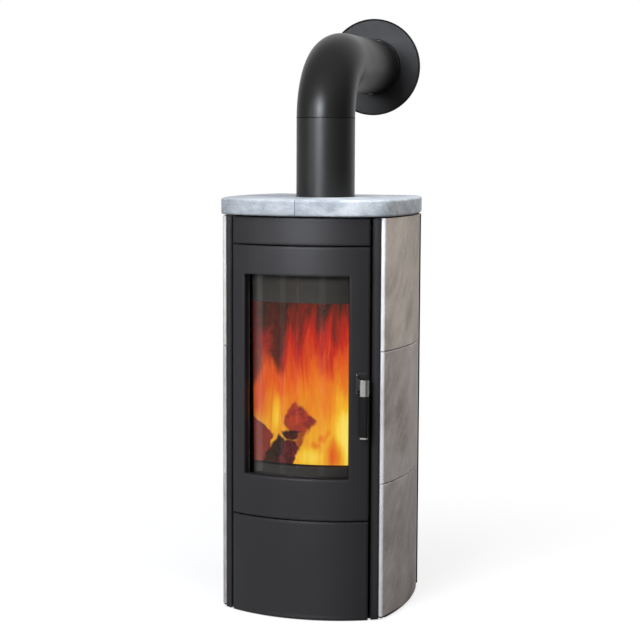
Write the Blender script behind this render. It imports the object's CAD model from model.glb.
import math
import random

import bmesh
import bpy
from mathutils import Euler, Matrix, Vector, noise


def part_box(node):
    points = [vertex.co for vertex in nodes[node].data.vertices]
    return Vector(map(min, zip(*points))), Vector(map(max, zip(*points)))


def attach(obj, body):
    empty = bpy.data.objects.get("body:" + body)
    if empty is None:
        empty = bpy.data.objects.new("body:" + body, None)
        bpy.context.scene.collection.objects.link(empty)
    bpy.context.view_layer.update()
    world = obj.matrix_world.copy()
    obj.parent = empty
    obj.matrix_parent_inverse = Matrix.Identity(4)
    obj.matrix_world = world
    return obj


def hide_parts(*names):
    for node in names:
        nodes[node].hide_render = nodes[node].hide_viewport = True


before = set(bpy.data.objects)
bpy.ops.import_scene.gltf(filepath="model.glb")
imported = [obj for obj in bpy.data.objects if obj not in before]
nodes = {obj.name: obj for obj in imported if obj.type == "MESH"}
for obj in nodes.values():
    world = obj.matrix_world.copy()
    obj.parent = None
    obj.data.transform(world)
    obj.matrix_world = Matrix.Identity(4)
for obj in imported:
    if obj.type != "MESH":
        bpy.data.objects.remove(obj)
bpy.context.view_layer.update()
scene = bpy.context.scene
scene.view_settings.view_transform = "Standard"

MM = 0.001
METRE = 1000.0
WHITE = (1.0, 1.0, 1.0)


# Camera: the photograph's view (metres and degrees)

CAMERA_PLACE = (1.23315, -4.15219, 1.18448)
CAMERA_DOWN = 6.06
CAMERA_TURN = 16.71
CAMERA_ROLL = 0.25
LENS = 94.7
SENSOR_WIDTH = 36.0
NEAREST, FARTHEST = 0.05, 100.0


def make_camera():
    data = bpy.data.cameras.new("photo_camera")
    data.lens = LENS
    data.sensor_width = SENSOR_WIDTH
    data.clip_start = NEAREST
    data.clip_end = FARTHEST
    camera = bpy.data.objects.new("photo_camera", data)
    scene.collection.objects.link(camera)
    angles = (math.radians(90 - CAMERA_DOWN), 0.0, math.radians(CAMERA_TURN))
    turn = Euler(angles).to_matrix().to_4x4()
    roll = Matrix.Rotation(math.radians(CAMERA_ROLL), 4, "Z")
    camera.matrix_world = Matrix.Translation(CAMERA_PLACE) @ turn @ roll
    scene.camera = camera


make_camera()


# Material builder

# Sockets of the Mix node when it mixes colours
MIX_SHARE, MIX_A, MIX_B, MIXED = 0, 6, 7, 2
BEVEL_SAMPLES = 4
# Cosine between the flat and the rounded normal where wear begins, and where it is full
WORN = (0.985, 0.85)
# Ranges of a noise's values
MOST = (0.3, 0.7)
WIDE = (0.25, 0.75)
WIDER = (0.2, 0.8)
ALL = (0.0, 1.0)
SHADER_SOCKETS = {
    "colour": "Base Color", "rough": "Roughness", "metal": "Metallic", "normal": "Normal",
    "specular": "Specular IOR Level", "anisotropic": "Anisotropic", "sheen": "Sheen Weight",
    "glow": "Emission Color", "glow_strength": "Emission Strength"}


class Graph:
    """A node tree, with short calls that add nodes and return their outputs."""

    def __init__(self, tree, place=None):
        self.tree = tree
        self.place = place

    def add(self, kind, **settings):
        node = self.tree.nodes.new(kind)
        for key, value in settings.items():
            setattr(node, key, value)
        return node

    def put(self, value, socket):
        """Joins a node's output to a socket, or sets the socket to a number or colour."""
        if isinstance(value, bpy.types.NodeSocket):
            self.tree.links.new(value, socket)
        elif value is not None:
            if hasattr(socket.default_value, "__len__") and len(value) < len(socket.default_value):
                value = (*value, 1.0)
            socket.default_value = value

    def fill(self, node, inputs):
        """Joins or sets inputs of a node, given by name or number."""
        for key, value in inputs.items():
            self.put(value, node.inputs[key])
        return node

    def mapped(self, scale=(1, 1, 1), turn=(0, 0, 0), shift=(0, 0, 0), place=None):
        """Coordinates scaled, then turned by degrees, then shifted."""
        angles = [math.radians(angle) for angle in turn]
        node = self.fill(self.add("ShaderNodeMapping"), {
            "Vector": place or self.place, "Scale": scale, "Rotation": angles, "Location": shift})
        return node.outputs["Vector"]

    def noise(self, scale, detail=2.0, rough=0.5, place=None, distortion=0.0, output="Fac"):
        node = self.fill(self.add("ShaderNodeTexNoise"), {
            "Vector": place or self.place, "Scale": scale, "Detail": detail, "Roughness": rough,
            "Distortion": distortion})
        return node.outputs[output]

    def cells(self, scale, place=None, feature="F1"):
        node = self.fill(self.add("ShaderNodeTexVoronoi", feature=feature), {
            "Vector": place or self.place, "Scale": scale})
        return node.outputs["Distance"]

    def bands(self, scale, distortion, place):
        node = self.fill(self.add("ShaderNodeTexWave"), {
            "Vector": place, "Scale": scale, "Distortion": distortion})
        return node.outputs["Fac"]

    def span(self, value, source, target=(0.0, 1.0), smooth=False):
        """Takes a value from one range to another, and stops at its ends."""
        node = self.add("ShaderNodeMapRange", interpolation_type="SMOOTHSTEP" if smooth else "LINEAR")
        self.fill(node, {"Value": value, "From Min": source[0], "From Max": source[1],
                         "To Min": target[0], "To Max": target[1]})
        return node.outputs["Result"]

    def maths(self, operation, *values, clamp=False):
        node = self.add("ShaderNodeMath", operation=operation, use_clamp=clamp)
        return self.fill(node, dict(enumerate(values))).outputs["Value"]

    def plus(self, a, b):
        return self.maths("ADD", a, b)

    def minus(self, a, b):
        return self.maths("SUBTRACT", a, b)

    def times(self, a, b, clamp=False):
        return self.maths("MULTIPLY", a, b, clamp=clamp)

    def weighted(self, *parts):
        """The sum of values, each times its weight."""
        total = None
        for value, weight in parts:
            part = self.times(value, weight)
            total = part if total is None else self.plus(total, part)
        return total

    def reach(self, a, b):
        """The length of two distances at right angles."""
        return self.maths("SQRT", self.plus(self.times(a, a), self.times(b, b)))

    def vectors(self, operation, *values):
        node = self.add("ShaderNodeVectorMath", operation=operation)
        self.fill(node, dict(enumerate(values)))
        return node.outputs["Value" if operation in ("DOT_PRODUCT", "LENGTH") else "Vector"]

    def axes(self, place=None):
        return self.fill(self.add("ShaderNodeSeparateXYZ"), {"Vector": place or self.place}).outputs

    def mix(self, share, a, b, kind="MIX"):
        """A colour between two: a where share is 0, b where it is 1."""
        node = self.add("ShaderNodeMix", data_type="RGBA", blend_type=kind)
        return self.fill(node, {MIX_SHARE: share, MIX_A: a, MIX_B: b}).outputs[MIXED]

    def over(self, base, colour, mask, share, kind="MIX"):
        """base, with a share of another colour over it where mask is 1."""
        return self.mix(self.times(mask, share), base, colour, kind)

    def ramp(self, value, stops):
        """Colours along a value; each stop is a position and a colour."""
        node = self.fill(self.add("ShaderNodeValToRGB"), {"Fac": value})
        points = node.color_ramp.elements
        while len(points) < len(stops):
            points.new(0.5)
        for point, (position, colour) in zip(points, stops):
            point.position = position
            point.color = (*colour, 1.0)
        return node.outputs["Color"]

    def rounded_edges(self, radius):
        """A normal that rounds the piece's edges, and a mask that is 1 along them."""
        bevel = self.fill(self.add("ShaderNodeBevel", samples=BEVEL_SAMPLES), {"Radius": radius})
        rounded = bevel.outputs["Normal"]
        flat = self.add("ShaderNodeNewGeometry").outputs["Normal"]
        return rounded, self.span(self.vectors("DOT_PRODUCT", rounded, flat), WORN)

    def relief(self, height, depth, strength, normal=None):
        node = self.fill(self.add("ShaderNodeBump"), {
            "Height": height, "Distance": depth, "Strength": strength, "Normal": normal})
        return node.outputs["Normal"]

    def shader(self, kind, **inputs):
        return self.fill(self.add("ShaderNode" + kind), inputs).outputs[0]

    def choose(self, share, a, b):
        """A shader between two: a where share is 0, b where it is 1."""
        return self.fill(self.add("ShaderNodeMixShader"), {0: share, 1: a, 2: b}).outputs["Shader"]

    def by_ray(self, seen, lighting, mirrored):
        """One shader for what the camera sees, one for the light given off and one for reflections."""
        path = self.add("ShaderNodeLightPath").outputs
        bounced = self.choose(path["Is Glossy Ray"], lighting, mirrored)
        return self.choose(path["Is Camera Ray"], bounced, seen)


class Look(Graph):
    """A material being built. Its textures lie in the part's own metres."""

    def __init__(self, name):
        self.material = bpy.data.materials.new(name)
        self.material.use_nodes = True
        super().__init__(self.material.node_tree)
        self.place = self.add("ShaderNodeTexCoord").outputs["Object"]
        self.principled = self.tree.nodes["Principled BSDF"]

    def finish(self, **values):
        """Fills the main shader's sockets, which SHADER_SOCKETS lists."""
        self.fill(self.principled, {SHADER_SOCKETS[key]: value for key, value in values.items()})
        return self.material

    def surface(self, shader):
        """Shows another shader in place of the main one."""
        self.tree.nodes.remove(self.principled)
        self.put(shader, self.tree.nodes["Material Output"].inputs["Surface"])
        return self.material


def tint(colour, factor):
    return tuple(min(1.0, c * factor) for c in colour)


# Materials of the stove (lengths in metres)

PAINT_GRAIN = 900.0
PAINT_SPECKS = 0.45 * PAINT_GRAIN
PAINT_RELIEF = 0.00012


def painted_steel(name, colour, rough, edge=0.0012, specular=0.5, roll=None):
    """Heat-resistant matt paint: cloudy tone, fine grain in the relief, worn paler edges. edge is the
    radius of the edges, and roll a wider one that the rounding follows and the wear doesn't."""
    look = Look(name)
    cloud = look.noise(scale=4.0, detail=4.0, rough=0.55)
    fine = look.noise(scale=PAINT_GRAIN, rough=0.6)
    smudge = look.noise(scale=14.0, detail=5.0, rough=0.65)
    specks = look.minus(1.0, look.span(look.cells(PAINT_SPECKS), (0.0, 0.35)))
    rounding, worn = look.rounded_edges(edge)
    worn = look.times(worn, look.span(look.noise(scale=60.0, detail=3.0), (0.35, 0.75)))
    tone = look.mix(look.span(cloud, MOST), tint(colour, 0.9), tint(colour, 1.12))
    tone = look.over(tone, tint(colour, 1.7), mask=specks, share=0.35)
    tone = look.over(tone, tint(colour, 5.0), mask=worn, share=0.35)
    gloss = look.plus(look.span(smudge, MOST, (rough - 0.035, rough + 0.04)),
                      look.span(fine, ALL, (-0.03, 0.03)))
    if roll:
        rounding = look.rounded_edges(roll)[0]
    normal = look.relief(fine, PAINT_RELIEF, strength=0.5, normal=rounding)
    return look.finish(colour=tone, rough=gloss, normal=normal, specular=specular)


# How much each pattern of the stone counts, beside its streaks
CLOUDS, PATCHES, FINE = 0.55, 0.35, 0.22
# Half the range of tones between the darkest and the palest stone
TONE_SPREAD = 0.15
# How far the pattern is bent
WARP = 0.07
HONED = (0.74, 0.75, 0.78)
# The honed edge of a tile pales between these heights
HONED_HEIGHTS = (0.1, 0.95)


def stone(name, shades, shift, turn, streaks=0.5, edge=0.0035, front_pale=0.0):
    """Soapstone: clouds, slanting streaks, veins and grains, with a honed face and softened edges.
    shades are dark, middle and pale. shift and turn give each stone a pattern of its own, and front_pale
    whitens the honed front edge of a tile."""
    dark, middle, pale = shades
    look = Look(name)
    place = look.mapped(shift=shift)
    bend = look.noise(scale=5.0, detail=3.0, place=place, output="Color")
    warped = look.vectors("MULTIPLY_ADD", bend, (WARP, WARP, WARP), place)
    leaning = look.mapped(turn=turn, place=warped)
    clouds = look.noise(scale=7.0, detail=6.0, rough=0.62, place=warped)
    patches = look.noise(scale=2.6, detail=3.0, place=warped)
    slanting = look.mapped(scale=(24.0, 24.0, 8.0), place=leaning)
    flow = look.noise(scale=1.0, detail=6.0, rough=0.68, place=slanting)
    fine = look.noise(scale=190.0, detail=4.0, rough=0.7, place=place)
    grain = look.noise(scale=620.0, rough=0.6, place=place)

    tone = look.weighted((clouds, CLOUDS), (flow, streaks), (patches, PATCHES), (fine, FINE))
    centre = 0.5 * (CLOUDS + streaks + PATCHES + FINE)
    tone = look.span(tone, (centre - TONE_SPREAD, centre + TONE_SPREAD))
    base = look.ramp(tone, [(0.0, dark), (0.5, middle), (1.0, pale)])
    hue = look.noise(scale=4.5, detail=3.0, rough=0.6, place=look.mapped(shift=(5, 1, 2), place=warped))
    warmth = look.span(hue, (0.35, 0.65))
    base = look.over(base, (1.0, 0.955, 0.93), mask=warmth, share=0.6, kind="MULTIPLY")
    flecks = look.minus(1.0, look.span(look.cells(scale=150.0, place=warped), (0.06, 0.2)))
    base = look.over(base, tint(dark, 0.55), mask=flecks, share=0.16)
    crossing = look.mapped(scale=(1.0, 1.0, 0.35), place=leaning)
    lines = look.cells(scale=9.0, place=crossing, feature="DISTANCE_TO_EDGE")
    broken = look.noise(scale=11.0, detail=3.0, place=place)
    vein = look.times(look.span(lines, (0.014, 0.0)), look.span(broken, (0.52, 0.7)))
    base = look.over(base, tint(pale, 1.12), mask=vein, share=0.35)
    rounding, worn = look.rounded_edges(edge)
    base = look.over(base, tint(pale, 1.1), mask=worn, share=0.25)
    if front_pale:
        facing = look.axes(look.add("ShaderNodeNewGeometry").outputs["Normal"])["Y"]
        honed = look.times(look.span(facing, (-0.6, -0.92)), look.span(clouds, (0.3, 0.6), (0.75, 1.0)))
        honed = look.times(honed, look.span(look.axes()["Z"], HONED_HEIGHTS, (0.45, 1.0)))
        base = look.over(base, HONED, mask=honed, share=front_pale)

    height = look.minus(look.weighted((fine, 0.6), (grain, 0.4)), look.times(vein, 0.4))
    gloss = look.plus(look.span(flow, MOST, (0.5, 0.64)), look.span(grain, ALL, (-0.05, 0.05)))
    normal = look.relief(height, depth=0.0003, strength=0.7, normal=rounding)
    return look.finish(colour=base, rough=gloss, normal=normal, specular=0.4)


def brush_lines(look, squeeze):
    """Fine lines along the height: a noise whose scale is squeezed in that direction."""
    return look.noise(scale=900.0, detail=3.0, rough=0.7, place=look.mapped(scale=(1, 1, squeeze)))


def brushed(name, colour, rough, squeeze=1 / 60):
    """Stainless steel with fine brush lines."""
    look = Look(name)
    lines = brush_lines(look, squeeze)
    smear = look.noise(scale=40.0, detail=3.0)
    tone = look.mix(look.span(lines, WIDE), tint(colour, 0.86), tint(colour, 1.1))
    gloss = look.plus(look.span(lines, WIDER, (rough - 0.06, rough + 0.06)),
                      look.span(smear, MOST, (-0.03, 0.03)))
    rounding, _ = look.rounded_edges(radius=0.0006)
    normal = look.relief(lines, depth=0.00004, strength=0.4, normal=rounding)
    return look.finish(colour=tone, rough=gloss, metal=1.0, anisotropic=0.4, normal=normal)


def firebrick(name):
    """Pressed vermiculite board: flecks, pores and soot that grows with height."""
    look = Look(name)
    flecks = look.cells(scale=260.0)
    clouds = look.noise(scale=9.0, detail=5.0, rough=0.6)
    pores = look.noise(scale=500.0, detail=3.0)
    board = [(0.0, (0.62, 0.5, 0.33)), (0.5, (0.46, 0.36, 0.23)), (1.0, (0.3, 0.23, 0.15))]
    base = look.ramp(look.span(flecks, (0.0, 0.6)), board)
    rising = look.span(look.axes()["Z"], (0.42, 0.86))
    soot = look.weighted((clouds, 0.9), (rising, 0.55))
    base = look.mix(look.span(soot, (0.45, 0.95)), base, (0.03, 0.026, 0.022))
    rounding, _ = look.rounded_edges(radius=0.002)
    height = look.weighted((flecks, 0.6), (pores, 0.4))
    normal = look.relief(height, depth=0.0008, strength=0.8, normal=rounding)
    return look.finish(colour=base, rough=look.span(clouds, MOST, (0.86, 0.97)), normal=normal,
                       specular=0.2)


def cast_iron(name):
    """Dark iron with the grain of the mould's sand."""
    look = Look(name)
    sand = look.noise(scale=420.0, detail=4.0, rough=0.7)
    clouds = look.noise(scale=16.0, detail=4.0)
    rounding, worn = look.rounded_edges(radius=0.0015)
    base = look.mix(look.span(clouds, (0.35, 0.7)), (0.028, 0.027, 0.028), (0.075, 0.068, 0.06))
    base = look.over(base, (0.14, 0.13, 0.12), mask=worn, share=0.4)
    normal = look.relief(sand, depth=0.0006, strength=0.7, normal=rounding)
    return look.finish(colour=base, rough=look.span(sand, MOST, (0.55, 0.8)), metal=0.35, normal=normal)


def rope(name, colour, twist):
    """Braided glass fibre: two crossed sets of strands."""
    look = Look(name)
    leans = [look.mapped(turn=(sign * twist, sign * 35, 0)) for sign in (1, -1)]
    weave = look.maths("MAXIMUM", *(look.bands(scale=110.0, distortion=1.0, place=lean) for lean in leans))
    fuzz = look.noise(scale=900.0, detail=3.0, rough=0.7)
    base = look.mix(look.span(weave, (0.2, 0.9)), tint(colour, 0.4), colour)
    base = look.mix(look.span(fuzz, (0.55, 0.8)), base, tint(colour, 1.3))
    height = look.plus(weave, look.times(fuzz, 0.3))
    return look.finish(colour=base, rough=look.span(fuzz, MOST, (0.85, 0.98)), sheen=0.25, specular=0.2,
                       normal=look.relief(height, depth=0.0006, strength=0.9))


def moulded(name, colour, rough, grain=700.0, specular=0.5):
    """Rubber, filler or moulded resin with a fine grain."""
    look = Look(name)
    fine = look.noise(scale=grain, detail=3.0, rough=0.6)
    cloud = look.noise(scale=30.0, detail=3.0)
    base = look.mix(look.span(cloud, MOST), tint(colour, 0.85), tint(colour, 1.2))
    gloss = look.span(fine, WIDER, (rough - 0.04, rough + 0.06))
    rounding, _ = look.rounded_edges(radius=0.0012)
    normal = look.relief(fine, depth=0.00006, strength=0.5, normal=rounding)
    return look.finish(colour=base, rough=gloss, normal=normal, specular=specular)


def two_steels(name, bright_place):
    """Blackened steel with bare bright steel where bright_place(look) is 1."""
    look = Look(name)
    share = bright_place(look)
    bare = (0.6, 0.59, 0.57)
    fine = look.noise(scale=700.0, detail=3.0, rough=0.6)
    lines = brush_lines(look, squeeze=0.03)
    shiny = look.mix(look.span(lines, WIDE), tint(bare, 0.85), tint(bare, 1.08))
    rounding, worn = look.rounded_edges(radius=0.0009)
    black = look.over((0.012, 0.0115, 0.012), (0.2, 0.19, 0.185), mask=worn, share=0.5)
    normal = look.relief(fine, depth=0.00004, strength=0.4, normal=rounding)
    return look.finish(colour=look.mix(share, black, shiny), metal=share,
                       rough=look.span(fine, WIDER, (0.2, 0.3)), normal=normal)


# The handle's pivot, the radius at which its pin's bright end stops, and where its knuckle ends
PIVOT_X, PIVOT_Y = 0.151, -0.231
PIN_END = (0.0036, 0.0032)
KNUCKLE_END = (0.1588, 0.1592)


def pin_ends(look):
    axes = look.axes()
    away = look.reach(look.minus(axes["X"], PIVOT_X), look.minus(axes["Y"], PIVOT_Y))
    return look.span(away, PIN_END)


def beside_knuckle(look):
    return look.span(look.axes()["X"], KNUCKLE_END)


def clear_glass(name):
    """Ceramic glass: a faint brown tint to look through, and a mirror that grows towards the edge-on
    view."""
    look = Look(name)
    haze = look.noise(scale=6.0, detail=4.0, rough=0.6)
    tinted = look.mix(look.span(haze, MOST), (0.86, 0.83, 0.8), (0.92, 0.9, 0.88))
    see = look.shader("BsdfTransparent", Color=tinted)
    gloss = look.span(haze, MOST, (0.05, 0.09))
    shine = look.shader("BsdfGlossy", Color=(0.28, 0.285, 0.29), Roughness=gloss)
    return look.surface(look.choose(look.shader("Fresnel", IOR=1.55), see, shine))


def wear(material, *names):
    for name in names:
        mesh = nodes[name].data
        mesh.materials.clear()
        mesh.materials.append(material)


# Dark, middle and pale stone of the sides and of the top slab
SIDE_STONE = ((0.24, 0.22, 0.205), (0.37, 0.345, 0.325), (0.49, 0.465, 0.445))
SLAB_STONE = ((0.18, 0.205, 0.235), (0.315, 0.345, 0.375), (0.5, 0.53, 0.56))
TILE_TURN = (38, 0, 10)
TILE_SHIFTS = {
    "left_lower_tile": (1.3, 0.2, 0.4), "left_middle_tile": (4.1, 2.0, 3.3),
    "left_upper_tile": (7.7, 1.1, 5.2), "right_lower_tile": (2.2, 5.1, 0.9),
    "right_middle_tile": (9.4, 3.2, 6.1), "right_upper_tile": (3.5, 8.3, 2.7)}
ROW_HUES = {"lower": (0.84, 0.82, 0.86), "middle": (0.93, 0.915, 0.94), "upper": (1.04, 1.01, 0.97)}
FRONT_PALE = {"left": 0.22, "right": 0.78}

for node, shift in TILE_SHIFTS.items():
    side, row, _ = node.split("_")
    shades = [[c * h for c, h in zip(shade, ROW_HUES[row])] for shade in SIDE_STONE]
    wear(stone(node + "_stone", shades, shift, TILE_TURN, front_pale=FRONT_PALE[side]), node)

wear(painted_steel("front_steel_paint", (0.0085, 0.0073, 0.0086), rough=0.42, roll=0.009),
     "top_cover_panel", "door_frame", "lower_door_panel")
wear(painted_steel("pillar_paint", (0.0095, 0.0088, 0.01), rough=0.36, edge=0.0016, roll=0.008),
     "left_front_pillar", "right_front_pillar", "left_rear_post", "right_rear_post", "rear_panel")
wear(painted_steel("carcass_paint", (0.011, 0.0105, 0.011), rough=0.5),
     "base_plate", "support_legs", "left_side_panel", "right_side_panel", "top_plate", "tile_rails",
     "firebox_shell", "air_box", "flue_collar", "air_duct", "under_rails", "grate_lever",
     "upper_door_hinge", "middle_door_hinge", "lower_door_hinge")
wear(painted_steel("inner_frame_paint", (0.046, 0.046, 0.043), rough=0.6), "front_frame")
wear(painted_steel("flue_paint", (0.006, 0.0056, 0.0052), rough=0.37, edge=0.0009), "flue_pipe")
wear(painted_steel("elbow_paint", (0.0045, 0.0042, 0.004), rough=0.35, edge=0.0009, specular=0.42),
     "flue_elbow")
wear(painted_steel("rosette_paint", (0.005, 0.0047, 0.005), rough=0.42, specular=0.24), "wall_rosette")
wear(painted_steel("pan_paint", (0.09, 0.09, 0.095), rough=0.5), "ash_pan")
wear(brushed("stainless_brushed", (0.6, 0.585, 0.56), rough=0.3),
     "levelling_screws", "rear_panel_screws", "tile_dowels", "glass_clips", "air_slide")
wear(brushed("stainless_polished", (0.66, 0.65, 0.63), rough=0.2, squeeze=1 / 20), "grip_end_cap")
wear(two_steels("handle_block_steel", beside_knuckle), "handle_block")
wear(two_steels("handle_base_steel", pin_ends), "handle_base")
wear(firebrick("firebrick_board"),
     "floor_brick", "left_side_brick", "right_side_brick", "back_bricks", "baffle_plate")
wear(cast_iron("grate_iron"), "log_guard", "grate_ring", "grate")
wear(rope("seal_rope_fibre", (0.36, 0.35, 0.33), twist=0), "door_rope_seal")
wear(rope("flat_seal_fibre", (0.24, 0.23, 0.22), twist=45), "glass_seal")
wear(moulded("joint_filler", (0.07, 0.065, 0.06), rough=0.85, grain=300.0), "tile_joint_strips")
wear(moulded("pad_rubber", (0.02, 0.02, 0.02), rough=0.8), "slab_pads")
wear(moulded("grip_black", (0.004, 0.004, 0.0038), rough=0.3, specular=0.2), "handle_grip")
wear(moulded("magnet_holder", (0.09, 0.09, 0.1), rough=0.4), "magnet_catch")
wear(clear_glass("door_ceramic_glass"), "door_glass")


# Pieces made here (millimetres in, metres out)

BODY = "stove"
FRONT_CY = 124.0


def add_piece(name, mesh, material):
    thing = bpy.data.objects.new(name, mesh)
    scene.collection.objects.link(thing)
    mesh.materials.append(material)
    mesh.polygons.foreach_set("use_smooth", [True] * len(mesh.polygons))
    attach(thing, BODY)
    return thing


def new_mesh(name, made):
    """Turns a bmesh into a mesh."""
    mesh = bpy.data.meshes.new(name)
    made.to_mesh(mesh)
    made.free()
    return mesh


def skin(made, rings):
    """Joins each closed ring of vertices to the next with faces."""
    for a, b in zip(rings, rings[1:]):
        for k in range(len(a)):
            n = (k + 1) % len(a)
            made.faces.new((a[k], a[n], b[n], b[k]))


# The top slab's halves, with their front corners rounded as in the photograph

SLAB_LOW = 1002.5
SLAB_HIGH = 1043.5
SLAB_FRONT_R = 387.0
SLAB_SIDE_X, SLAB_SIDE_Y, SLAB_SIDE_R = -407.0, -16.0, 646.5
SLAB_BACK = 210.0
FRONT_CORNER_R = 40.0
REAR_CORNER_R = 22.0
SLAB_EDGE_R = 6.0
FLUE_HOLE_R = 78.0
HALF_SEAM = 0.6
ARC_STEP = 4.0
BACK_STEPS = 30
EDGE_STEPS = 6
# How deep and how fine the slab's hand dressing is
DRESSING = 0.45
DRESSING_SCALE, DRESSING_SCALE_UP = 0.06, 0.1
SHARP_FROM = 35
# Each half: node, side, shift and turn of its pattern, and how light it is
SLAB_HALVES = (("left_slab", -1, (6.2, 1.7, 3.1), (0, 82, 0), 0.7),
               ("right_slab", 1, (7.3, 2.2, 4.9), (0, 72, 25), 0.93))


def arc(x, y, r, start, end):
    """Points along an arc, each with the direction out of the slab; angles in radians."""
    count = max(2, int(abs(end - start) * r / ARC_STEP))
    turns = [start + (end - start) * i / count for i in range(count + 1)]
    return [(x + r * math.cos(a), y + r * math.sin(a), math.cos(a), math.sin(a)) for a in turns]


def front_right_crossing(x1, y1, r1, x2, y2, r2):
    """Where two circles cross, in front on the right."""
    apart = math.hypot(x2 - x1, y2 - y1)
    along = (r1 ** 2 - r2 ** 2 + apart ** 2) / (2 * apart)
    off = math.sqrt(r1 ** 2 - along ** 2)
    ux, uy = (x2 - x1) / apart, (y2 - y1) / apart
    both = [(x1 + along * ux - s * off * uy, y1 + along * uy + s * off * ux) for s in (1, -1)]
    return max(both, key=lambda p: p[0] - p[1])


def slab_outline():
    """The right half's outline from the seam's front round to its rear, then the seam and the flue's
    notch."""
    cx, cy = front_right_crossing(0, FRONT_CY, SLAB_FRONT_R - FRONT_CORNER_R,
                                  SLAB_SIDE_X, SLAB_SIDE_Y, SLAB_SIDE_R - FRONT_CORNER_R)
    rear_y = SLAB_BACK - REAR_CORNER_R
    rear_x = SLAB_SIDE_X + math.sqrt((SLAB_SIDE_R - REAR_CORNER_R) ** 2 - (rear_y - SLAB_SIDE_Y) ** 2)
    into = math.atan2(cy - FRONT_CY, cx)
    out = math.atan2(cy - SLAB_SIDE_Y, cx - SLAB_SIDE_X)
    rear = math.atan2(rear_y - SLAB_SIDE_Y, rear_x - SLAB_SIDE_X)
    points = arc(0, FRONT_CY, SLAB_FRONT_R, math.asin(HALF_SEAM / SLAB_FRONT_R) - math.pi / 2, into)
    points += arc(cx, cy, FRONT_CORNER_R, into, out)[1:]
    points += arc(SLAB_SIDE_X, SLAB_SIDE_Y, SLAB_SIDE_R, out, rear)[1:]
    points += arc(rear_x, rear_y, REAR_CORNER_R, rear, math.pi / 2)[1:]
    for i in range(1, BACK_STEPS + 1):
        x = HALF_SEAM + (rear_x - HALF_SEAM) * (1 - i / BACK_STEPS)
        points.append((x, SLAB_BACK, 0.0, 1.0))
    half = math.acos(HALF_SEAM / FLUE_HOLE_R)
    points += [(x, y, 0.0, 0.0) for x, y, _, _ in arc(0, 0, FLUE_HOLE_R, half, -half)]
    return points


def slab_mesh(name, side):
    """Half the slab: rounded upper and lower edges, a little uneven as hand-dressed stone is."""
    turns = [math.pi / 2 * k / EDGE_STEPS for k in range(EDGE_STEPS + 1)]
    edge = [(SLAB_EDGE_R * (1 - math.sin(t)), SLAB_EDGE_R * (1 - math.cos(t))) for t in turns]
    profile = [(SLAB_LOW + up, inset) for up, inset in edge[::-1]]
    profile += [(SLAB_HIGH - down, inset) for down, inset in edge]
    outline = slab_outline()
    made = bmesh.new()
    rings = []
    for z, inset in profile:
        ring = []
        for x, y, nx, ny in outline:
            spot = Vector((x * DRESSING_SCALE, y * DRESSING_SCALE, z * DRESSING_SCALE_UP + side))
            deep = inset + DRESSING * (0.5 + 0.5 * noise.noise(spot))
            ring.append(made.verts.new((side * (x - nx * deep) * MM, (y - ny * deep) * MM, z * MM)))
        rings.append(ring)
    skin(made, rings)
    ends = [made.faces.new(rings[0][::-1]), made.faces.new(rings[-1])]
    bmesh.ops.triangulate(made, faces=ends, ngon_method="EAR_CLIP")
    bmesh.ops.recalc_face_normals(made, faces=made.faces)
    return new_mesh(name, made)


for node, side, shift, turn, lightness in SLAB_HALVES:
    shades = [tint(colour, lightness) for colour in SLAB_STONE]
    slab = add_piece(node + "_rounded", slab_mesh(node + "_rounded", side),
                     stone(node + "_stone", shades, shift, turn, streaks=0.75, edge=0.002))
    slab.data.set_sharp_from_angle(angle=math.radians(SHARP_FROM))
    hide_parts(node)


# The line where the elbow sits on the flue pipe

FLUE_R = 75.0
JOINT_HALF_TALL = 1.0
JOINT_FACE = 0.6 * JOINT_HALF_TALL
JOINT_OUT = 0.25
JOINT_ROUNDS = 96


def joint_line(name, z):
    """A thin ring set in the pipe's skin."""
    profile = ((FLUE_R - JOINT_OUT, z - JOINT_HALF_TALL), (FLUE_R + JOINT_OUT, z - JOINT_FACE),
               (FLUE_R + JOINT_OUT, z + JOINT_FACE), (FLUE_R - JOINT_OUT, z + JOINT_HALF_TALL))
    turns = [2 * math.pi * k / JOINT_ROUNDS for k in range(JOINT_ROUNDS)]
    made = bmesh.new()
    rings = [[made.verts.new((r * math.cos(a) * MM, r * math.sin(a) * MM, height * MM)) for a in turns]
             for r, height in profile]
    skin(made, rings + rings[:1])
    return new_mesh(name, made)


add_piece("flue_joint_line", joint_line("flue_joint_line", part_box("flue_pipe")[1].z * METRE),
          moulded("flue_joint_black", (0.0015, 0.0015, 0.0015), rough=0.9, specular=0.1))


# The fire: logs, embers and flames in the chamber

LOG_ROUNDS, LOG_STEPS = 40, 34
# Shares of a log's radius: its cleft side, how it tapers, its bark's lumps and ridges
CLEFT, TAPER, LUMPS, RIDGES = 0.35, 0.16, 0.09, 0.14
# A log's broken ends: the inner ring's share of the outer, its unevenness and the middle's height (metres)
INNER_RING, UNEVEN, MIDDLE_OUT = 0.55, 0.004, 0.002


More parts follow.
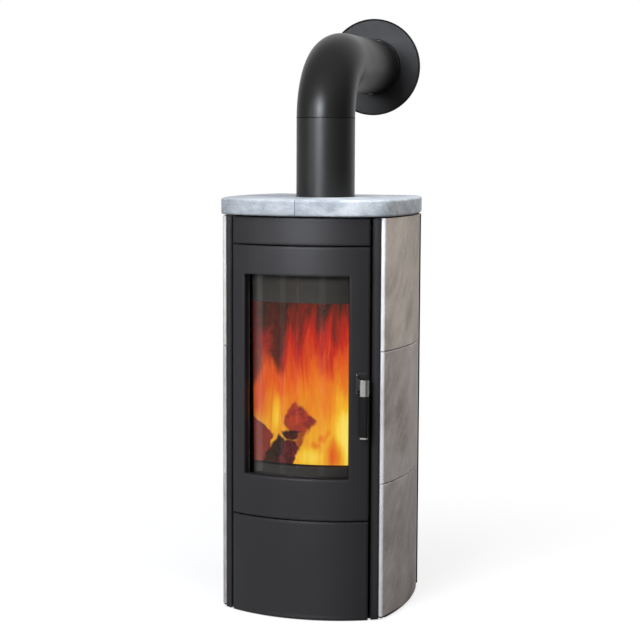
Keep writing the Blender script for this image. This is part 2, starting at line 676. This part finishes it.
def charred(name, body, hot, share, seed):
    """Burning wood: a dull body glow, long grain, and patches and thin cracks of a hotter glow."""
    look = Look(name)
    place = look.mapped(shift=(seed, seed * 1.7, seed * 0.6))
    along = look.mapped(scale=(1.0, 0.4, 1.0), place=place)
    grain = look.noise(scale=55.0, detail=6.0, rough=0.7, place=along, distortion=0.6)
    patches = look.noise(scale=17.0, detail=5.0, rough=0.65, place=place, distortion=0.8)
    folds = look.noise(scale=30.0, detail=4.0, rough=0.6, place=place, distortion=1.2)
    folds = look.maths("ABSOLUTE", look.minus(folds, 0.5))
    cracks = look.times(look.span(folds, (0.022, 0.0)), look.span(patches, (0.42, 0.6)))
    heat = look.plus(look.times(cracks, 0.7), look.span(patches, (0.5, 0.78)))
    heat = look.times(heat, share, clamp=True)
    dull = look.mix(look.span(grain, MOST), tint(body, 0.62), tint(body, 1.3))
    height = look.minus(grain, look.times(cracks, 0.6))
    return look.finish(colour=(0.02, 0.011, 0.008), rough=look.span(grain, MOST, (0.75, 0.95)),
                       specular=0.15, normal=look.relief(height, depth=0.003, strength=0.9),
                       glow=look.mix(heat, dull, hot), glow_strength=1.0)


def log_mesh(name, start, end, radius, seed):
    """A split log between two points: a lumpy round with one flat cleft side and broken ends."""
    start, end = Vector(start), Vector(end)
    axis = end - start
    length = axis.length
    axis.normalize()
    side = axis.cross(Vector((0.2, 0.9, 0.4))).normalized()
    up = axis.cross(side)
    shift = Vector((seed * 3.1, seed * 1.3, seed * 7.7))
    made = bmesh.new()
    rings = []
    for i in range(LOG_STEPS + 1):
        t = i / LOG_STEPS
        taper = 1.0 - TAPER * abs(2 * t - 1) ** 3
        ring = []
        for k in range(LOG_ROUNDS):
            a = 2 * math.pi * k / LOG_ROUNDS
            r = radius * taper
            if math.cos(a) > CLEFT:
                r *= CLEFT / math.cos(a) * 0.9 + 0.1
            direction = side * math.cos(a) + up * math.sin(a)
            p = start + axis * (length * t) + direction * r
            bark = noise.fractal(p * 0.05 + shift, 0.8, 2.1, 5) * LUMPS * radius
            ridge = abs(noise.noise((direction * 6.0 + axis * t * 0.8) + shift)) * RIDGES * radius
            ring.append(made.verts.new((p + direction * (bark - ridge)) * MM))
        rings.append(ring)
    skin(made, rings)
    for ring, out in ((rings[0], -1), (rings[-1], 1)):
        centre = sum((v.co for v in ring), Vector()) / LOG_ROUNDS
        inner = []
        for v in ring:
            broken = axis * out * UNEVEN * noise.noise(v.co * 90 + shift)
            inner.append(made.verts.new(centre + (v.co - centre) * INNER_RING + broken))
        middle = made.verts.new(centre + axis * out * MIDDLE_OUT)
        for k in range(LOG_ROUNDS):
            a, b = (k, (k + 1) % LOG_ROUNDS)[::out]
            made.faces.new((ring[a], ring[b], inner[b], inner[a]))
            made.faces.new((inner[a], inner[b], middle))
    bmesh.ops.recalc_face_normals(made, faces=made.faces)
    return new_mesh(name, made)


EMBERS = 150
EMBER_SEED = 12
EMBERS_X, EMBERS_Y = (-120, 120), (-150, 70)
EMBER_SIZES = (5, 13)
HEARTH_Y, HEARTH_HALF_WIDE, HEARTH_HALF_DEEP, HEARTH_Z = -40, 125, 115, 352
HEAP = 16


def ember_bed():
    """Lumps of glowing charcoal and ash heaped on the hearth."""
    rng = random.Random(EMBER_SEED)
    made = bmesh.new()
    for i in range(EMBERS):
        x = rng.uniform(*EMBERS_X)
        y = rng.uniform(*EMBERS_Y)
        edge = max(abs(x) / HEARTH_HALF_WIDE, abs(y - HEARTH_Y) / HEARTH_HALF_DEEP)
        size = rng.uniform(*EMBER_SIZES) * (1.15 - 0.45 * edge)
        z = HEARTH_Z + size * 0.6 + HEAP * max(0.0, 1 - edge) * rng.random()
        shift = Vector((i * 2.3, i * 0.7, i * 1.9))
        lump = bmesh.ops.create_icosphere(made, subdivisions=2, radius=1.0)["verts"]
        stretch = Vector((rng.uniform(0.8, 1.5), rng.uniform(0.8, 1.4), rng.uniform(0.6, 0.9)))
        turn = Euler((rng.uniform(0, 3), rng.uniform(0, 3), rng.uniform(0, 3))).to_matrix()
        for v in lump:
            lumpy = 1.0 + 0.35 * noise.noise(v.co * 1.7 + shift)
            v.co = (Vector((x, y, z)) + turn @ (v.co * stretch) * size * lumpy) * MM
    return new_mesh("ember_bed", made)


SHEET_ACROSS, SHEET_TALL = 90, 110
FOLD_SCALE, FOLD_SCALE_UP = 9.0, 0.006


def flame_sheet(name, radius, half_angle, low, high, waves, seed):
    """A curved sheet of flame that follows the glass, with folds."""
    points, faces = [], []
    for j in range(SHEET_TALL + 1):
        for i in range(SHEET_ACROSS + 1):
            a = math.radians(half_angle) * (2 * i / SHEET_ACROSS - 1)
            z = low + (high - low) * j / SHEET_TALL
            r = radius + waves * noise.noise(Vector((a * FOLD_SCALE, z * FOLD_SCALE_UP, seed)))
            points.append((r * math.sin(a) * MM, (FRONT_CY - r * math.cos(a)) * MM, z * MM))
    row = SHEET_ACROSS + 1
    for j in range(SHEET_TALL):
        for i in range(SHEET_ACROSS):
            k = j * row + i
            faces.append((k, k + 1, k + row + 1, k + row))
    mesh = bpy.data.meshes.new(name)
    mesh.from_pydata(points, [], faces)
    mesh.update()
    return mesh


# Heat at rising heights, and the colours of rising heat
HEAT_LOW, HEAT_HIGH = 350.0, 850.0
LEVELS = ((360, 0.79), (440, 0.79), (490, 0.75), (540, 0.67), (578, 0.6), (622, 0.53), (660, 0.47),
          (700, 0.41), (726, 0.35), (750, 0.28), (780, 0.21), (840, 0.12))
FIRE_COLOURS = (
    (0.0, (0.02, 0.01, 0.006)), (0.14, (0.045, 0.018, 0.01)), (0.27, (0.22, 0.02, 0.012)),
    (0.42, (0.56, 0.024, 0.011)), (0.57, (0.78, 0.115, 0.012)), (0.72, (0.84, 0.29, 0.014)),
    (0.86, (0.93, 0.56, 0.03)), (1.0, (1.0, 0.82, 0.14)))
SHEET_DENSITY = 0.85
CUT_WIDTH = 0.2
# Heights between which calm flames turn lively, and how lively the calm ones are
CALM_HEIGHTS, CALM = (0.42, 0.62), 0.22
# How far the flames sway and lift (metres), and the heat that streaks and wisps add or take
SWAY, LIFT, STREAK, WISP = 0.02, 0.045, 0.075, 0.06
# How far the outlines of the charred wood ripple, in metres
RIPPLE = 0.024


def patch(look, place, x, z, wide, tall):
    """1 in the middle of an ellipse on a flame sheet, falling to 0 at its rim (millimetres)."""
    away = look.vectors("SUBTRACT", place, (x * MM, 0.0, z * MM))
    away = look.vectors("MULTIPLY", away, (METRE / wide, 0.0, METRE / tall))
    return look.span(look.vectors("LENGTH", away), (1.0, 0.1), smooth=True)


def facet(look, place, corners, soft):
    """1 inside a convex outline on a flame sheet, 0 outside it, over a soft edge (millimetres,
    clockwise)."""
    inside = None
    for (x0, z0), (x1, z1) in zip(corners, corners[1:] + corners[:1]):
        length = math.hypot(x1 - x0, z1 - z0)
        nx, nz = (z1 - z0) / length, (x0 - x1) / length
        across = look.vectors("DOT_PRODUCT", place, (nx, 0.0, nz))
        depth = look.minus(across, (nx * x0 + nz * z0) * MM)
        inside = depth if inside is None else look.maths("MINIMUM", inside, depth)
    half = soft * MM / 2
    return look.span(inside, (-half, half), smooth=True)


def flame_heat(look, seed, patches):
    """Heat that falls with height, drawn out into tongues, with patches that add heat or take it away.
    Near the embers the flames are calm."""
    axes = look.axes()
    lively = look.span(axes["Z"], CALM_HEIGHTS, (CALM, 1.0))
    sway = look.noise(scale=8.0, detail=3.0, place=look.mapped(scale=(1.0, 1.0, 0.5), shift=(seed, 0, seed)))
    lift = look.noise(scale=20.0, detail=2.5,
                      place=look.mapped(scale=(1.5, 1.0, 0.35), shift=(0, seed, seed)))
    swayed = look.plus(axes["X"], look.times(lively, look.span(sway, WIDE, (-SWAY, SWAY))))
    raised = look.plus(axes["Z"], look.times(lively, look.span(lift, WIDE, (-LIFT, LIFT))))
    place = look.fill(look.add("ShaderNodeCombineXYZ"), {"X": swayed, "Z": raised}).outputs["Vector"]
    streaks = look.noise(scale=1.0, detail=4.0, rough=0.6,
                         place=look.mapped(scale=(120.0, 1.0, 6.0), shift=(seed, 0, 0), place=place))
    wisps = look.noise(scale=1.0, detail=5.0, rough=0.68,
                       place=look.mapped(scale=(52.0, 1.0, 19.0), shift=(3, 0, 7 + seed), place=place))
    steps = [((z - HEAT_LOW) / (HEAT_HIGH - HEAT_LOW), (h, h, h)) for z, h in LEVELS]
    heat = look.ramp(look.span(raised, (HEAT_LOW * MM, HEAT_HIGH * MM)), steps)
    for x, z, wide, tall, weight in patches:
        heat = look.plus(heat, look.times(patch(look, place, x, z, wide, tall), weight))
    heat = look.plus(heat, look.span(streaks, WIDE, (-STREAK, STREAK)))
    return look.plus(heat, look.times(lively, look.span(wisps, WIDE, (-WISP, WISP))))


def charred_shapes(look, colour, chars):
    """Shapes of charred wood and smoke seen against the flames."""
    ripple = look.noise(scale=42.0, detail=5.0, output="Color")
    centred = look.vectors("SUBTRACT", look.place, (RIPPLE / 2, 0.0, RIPPLE / 2))
    place = look.vectors("MULTIPLY_ADD", ripple, (RIPPLE, 0.0, RIPPLE), centred)
    turned = look.mapped(turn=(0, 40, 0))
    bark = look.noise(scale=1.0, detail=6.0, rough=0.72,
                      place=look.mapped(scale=(78.0, 78.0, 56.0), place=turned))
    for corners, soft, share, dark, light in chars:
        mask = look.times(facet(look, place, corners, soft), share)
        colour = look.mix(mask, colour, look.mix(look.span(bark, (0.4, 0.62)), dark, light))
    return colour


def flame(name, seed, patches, cut=None, strength=1.0, chars=()):
    """Flames as light. Below the heat named cut the sheet is clear."""
    look = Look(name)
    heat = flame_heat(look, seed, patches)
    colour = look.ramp(heat, FIRE_COLOURS)
    if chars:
        colour = charred_shapes(look, colour, chars)
    light = look.shader("Emission", Color=colour, Strength=strength)
    if cut is not None:
        solid = look.span(heat, (cut, cut + CUT_WIDTH), (0.0, SHEET_DENSITY))
        light = look.choose(solid, look.shader("BsdfTransparent"), light)
    return look.surface(light)


MAROON = (0.23, 0.028, 0.032)
DARK_RED = (0.5, 0.03, 0.02)
RED_HOT = (0.75, 0.12, 0.02)
YELLOW_HOT = (1.0, 0.5, 0.05)
# Each log: name, ends, radius, seed, body's glow, hotter glow and its share
LOGS = (("log_left", (-104, -168, 412), (-88, -20, 425), 46, 1.0, MAROON, RED_HOT, 0.25),
        ("log_slanting", (-84, -172, 372), (2, -120, 476), 25, 2.0, (0.034, 0.017, 0.01), DARK_RED, 0.35),
        ("log_middle", (4, -150, 462), (34, -10, 486), 39, 3.0, (0.36, 0.018, 0.018), RED_HOT, 0.6),
        ("log_back", (-60, -40, 395), (112, -62, 388), 34, 4.0, (0.5, 0.06, 0.02), YELLOW_HOT, 0.8))

add_piece("ember_bed", ember_bed(), charred("embers", (0.5, 0.07, 0.015), YELLOW_HOT, 0.9, 4.0))
for name, start, end, radius, seed, body, hot, share in LOGS:
    add_piece(name, log_mesh(name, start, end, radius, seed), charred(name + "_char", body, hot, share, seed))

# Patches: x, z, width, height (millimetres), heat added
GLOW_PATCHES = ((-60, 730, 75, 120, -0.25), (80, 450, 60, 160, 0.15))
MIDDLE_PATCHES = (
    (-50, 735, 75, 110, -0.3), (-90, 420, 60, 70, -0.7), (-40, 420, 60, 60, -0.5), (90, 450, 50, 150, 0.15))
FRONT_PATCHES = (
    (124, 470, 48, 130, 0.26), (32, 405, 52, 36, 0.14), (92, 408, 32, 56, -0.2), (45, 437, 17, 13, -0.12),
    (62, 452, 18, 14, -0.12), (76, 463, 15, 12, -0.09), (-62, 508, 18, 62, 0.16),
    (-118, 548, 44, 66, -0.1), (-66, 570, 34, 60, -0.05), (62, 757, 30, 56, -0.1), (15, 715, 44, 70, -0.05),
    (40, 580, 60, 70, 0.06), (110, 600, 40, 120, 0.07), (-50, 650, 26, 50, -0.12), (108, 740, 34, 90, -0.04))
# Charred wood and smoke: outline (millimetres), width of its edge, share, dark colour, light colour
FRONT_CHARS = (
    (((-150, 805), (-101, 805), (-97, 640), (-112, 596), (-150, 560)), 24, 0.9,
     (0.07, 0.016, 0.014), (0.17, 0.02, 0.018)),
    (((-114, 805), (-20, 805), (-31, 713), (-37, 669), (-50, 612), (-72, 648), (-100, 712), (-114, 752)),
     24, 0.92, (0.024, 0.011, 0.007), (0.06, 0.022, 0.013)),
    (((-97, 716), (-74, 724), (-72, 668), (-80, 632), (-92, 652), (-99, 690)), 22, 0.75,
     (0.2, 0.02, 0.015), (0.42, 0.03, 0.02)),
    (((-9, 543), (10, 532), (45, 496), (16, 462), (-12, 462), (-38, 484), (-35, 508), (-20, 530)), 9, 0.95,
     (0.18, 0.011, 0.022), (0.44, 0.038, 0.02)),
    (((3, 462), (15, 464), (9, 436), (-2, 425), (-12, 438)), 6, 0.85,
     (0.16, 0.01, 0.012), (0.36, 0.03, 0.014)),
    (((-46, 470), (-35, 472), (3, 468), (3, 457), (-12, 443), (-29, 444)), 5, 0.99,
     (0.02, 0.008, 0.008), (0.1, 0.012, 0.012)),
    (((-150, 516), (-114, 496), (-68, 462), (-76, 420), (-102, 376), (-150, 376)), 5, 0.97,
     (0.18, 0.02, 0.022), (0.25, 0.028, 0.028)),
    (((-58, 447), (-8, 443), (2, 427), (-10, 399), (-27, 374), (-76, 374)), 6, 0.99,
     (0.045, 0.007, 0.011), (0.17, 0.014, 0.022)),
    (((-52, 460), (-35, 450), (-38, 432), (-56, 374), (-104, 374), (-88, 409), (-72, 432)), 8, 0.99,
     (0.012, 0.009, 0.006), (0.05, 0.018, 0.014)))

add_piece("flame_glow",
          flame_sheet("flame_glow", radius=205, half_angle=33, low=352, high=868, waves=12, seed=1.0),
          flame("flame_glow_light", 1.0, GLOW_PATCHES))
add_piece("flame_middle",
          flame_sheet("flame_middle", radius=262, half_angle=26, low=356, high=800, waves=14, seed=2.0),
          flame("flame_middle_light", 2.4, MIDDLE_PATCHES, cut=0.34))
add_piece("flame_front",
          flame_sheet("flame_front", radius=350, half_angle=23.6, low=388, high=789, waves=0.8, seed=3.0),
          flame("flame_front_light", 5.1, FRONT_PATCHES, strength=1.3, chars=FRONT_CHARS))


# Floor, backdrop and light

WORLD_LIGHT = 0.22
WORLD_IN_MIRRORS = 0.36
REAR_IN_MIRRORS = 0.95
FLOOR_IN_MIRRORS = 0.6
# Directions to the right between which mirrors see it darken, and by how much or to what
FLOOR_DARK_SIDE, FLOOR_DARKENED = (0.45, 0.95), 0.8
ROOM_DARK_SIDE, ROOM_DARKEST = (0.5, 0.98), 0.2
# Directions to the rear between which the room turns white
ROOM_REAR = (0.25, 0.9)
FLOOR_RADIUS = 9.0
PAPER = (0.86, 0.86, 0.86)
DIM = (0.16, 0.16, 0.16)
# The floor is a little shaded near the stove, and pure white from the second distance on
FLOOR_FADE = (0.4, 1.5)
WHITE_AT_STOVE = 0.7


def make_floor():
    """A pale floor. To light and mirrors it is dimmer, and in mirrors darker to the right."""
    made = bmesh.new()
    bmesh.ops.create_circle(made, cap_ends=True, segments=96, radius=FLOOR_RADIUS)
    floor = bpy.data.objects.new("studio_floor", new_mesh("studio_floor", made))
    scene.collection.objects.link(floor)
    look = Look("studio_floor_paper")
    axes = look.axes()
    reach = look.reach(axes["X"], axes["Y"])
    seen = look.choose(look.span(reach, FLOOR_FADE, (WHITE_AT_STOVE, 1.0), smooth=True),
                       look.shader("BsdfDiffuse", Color=PAPER), look.shader("Emission", Color=WHITE))
    rightness = look.maths("DIVIDE", look.plus(axes["X"], look.times(axes["Y"], -0.2)), reach)
    dark_side = look.times(look.span(rightness, FLOOR_DARK_SIDE), FLOOR_DARKENED)
    strength = look.times(FLOOR_IN_MIRRORS, look.minus(1.0, dark_side))
    shader = look.by_ray(seen, look.shader("BsdfDiffuse", Color=DIM),
                         look.shader("Emission", Color=WHITE, Strength=strength))
    floor.data.materials.append(look.surface(shader))


def make_world():
    """White to the camera. In mirrors the room is darker to the right and white behind the stove."""
    world = bpy.data.worlds.new("studio_world")
    world.use_nodes = True
    scene.world = world
    sky = Graph(world.node_tree)
    sky.tree.nodes.remove(sky.tree.nodes["Background"])
    way = sky.axes(sky.add("ShaderNodeTexCoord").outputs["Generated"])
    side = sky.span(way["X"], ROOM_DARK_SIDE, (1.0, ROOM_DARKEST))
    rear = sky.span(way["Y"], ROOM_REAR, (WORLD_IN_MIRRORS, REAR_IN_MIRRORS))
    shader = sky.by_ray(sky.shader("Background", Color=WHITE),
                        sky.shader("Background", Color=(1.0, 0.985, 0.96), Strength=WORLD_LIGHT),
                        sky.shader("Background", Color=WHITE, Strength=sky.times(side, rear)))
    sky.put(shader, sky.tree.nodes["World Output"].inputs["Surface"])


def softbox(name, azimuth, distance, height, size, watts, colour, aim, shiny=True, receivers=None):
    """A rectangular lamp; azimuth 0 stands in front of the stove, and 90 to its right. One that isn't
    shiny gives no highlights. receivers holds what it lights, which is all but the door glass if not
    given."""
    data = bpy.data.lights.new(name, "AREA")
    data.shape = "RECTANGLE"
    data.size, data.size_y = size
    data.energy = watts
    data.color = colour
    lamp = bpy.data.objects.new(name, data)
    scene.collection.objects.link(lamp)
    a = math.radians(azimuth)
    lamp.location = (distance * math.sin(a), -distance * math.cos(a), height)
    lamp.rotation_euler = (Vector(aim) - lamp.location).to_track_quat("-Z", "Y").to_euler()
    lamp.visible_glossy = shiny
    lamp.light_linking.receiver_collection = receivers or lit


make_floor()
make_world()

COOL = (0.94, 0.98, 1.05)
WARM = (1.05, 1.0, 0.93)
# Lamps: name, azimuth, distance, height, width and height of the panel, watts, colour, aim, highlights
LAMPS = (("key_softbox", -10.5, 3.2, 1.95, (1.35, 1.0), 100, COOL, (0, 0, 0.9), True),
         ("front_fill", -22, 2.6, 2.7, (1.6, 1.2), 34, COOL, (0, 0, 1.2), False),
         ("strip_left", -44, 3.0, 1.4, (0.12, 1.7), 6, COOL, (0, 0, 0.9), True),
         ("top_light", 10, 0.9, 3.3, (2.0, 2.0), 85, COOL, (0, 0.1, 1.0), False),
         ("right_fill", 84, 1.8, 2.7, (1.3, 1.1), 38, WARM, (0.1, 0, 1.3), False))
# Strips that the door glass mirrors: azimuth, width, watts
GLASS_STRIPS = ((-48.8, 0.14, 0.27), (-27.9, 0.13, 0.2), (-15.4, 0.02, 0.08), (4.6, 0.15, 0.21))
STRIP_DISTANCE, STRIP_HEIGHT, STRIP_TALL = 1.72, 0.45, 0.85

lit = bpy.data.collections.new("lit_by_lamps")
lit.objects.link(nodes["door_glass"])
lit.collection_objects[0].light_linking.link_state = "EXCLUDE"
mirrored_in_glass = bpy.data.collections.new("mirrored_in_glass")
mirrored_in_glass.objects.link(nodes["door_glass"])

for lamp in LAMPS:
    softbox(*lamp)
for azimuth, width, watts in GLASS_STRIPS:
    softbox("glass_strip", azimuth, STRIP_DISTANCE, STRIP_HEIGHT, (width, STRIP_TALL), watts, COOL,
            (0, 0, STRIP_HEIGHT), receivers=mirrored_in_glass)
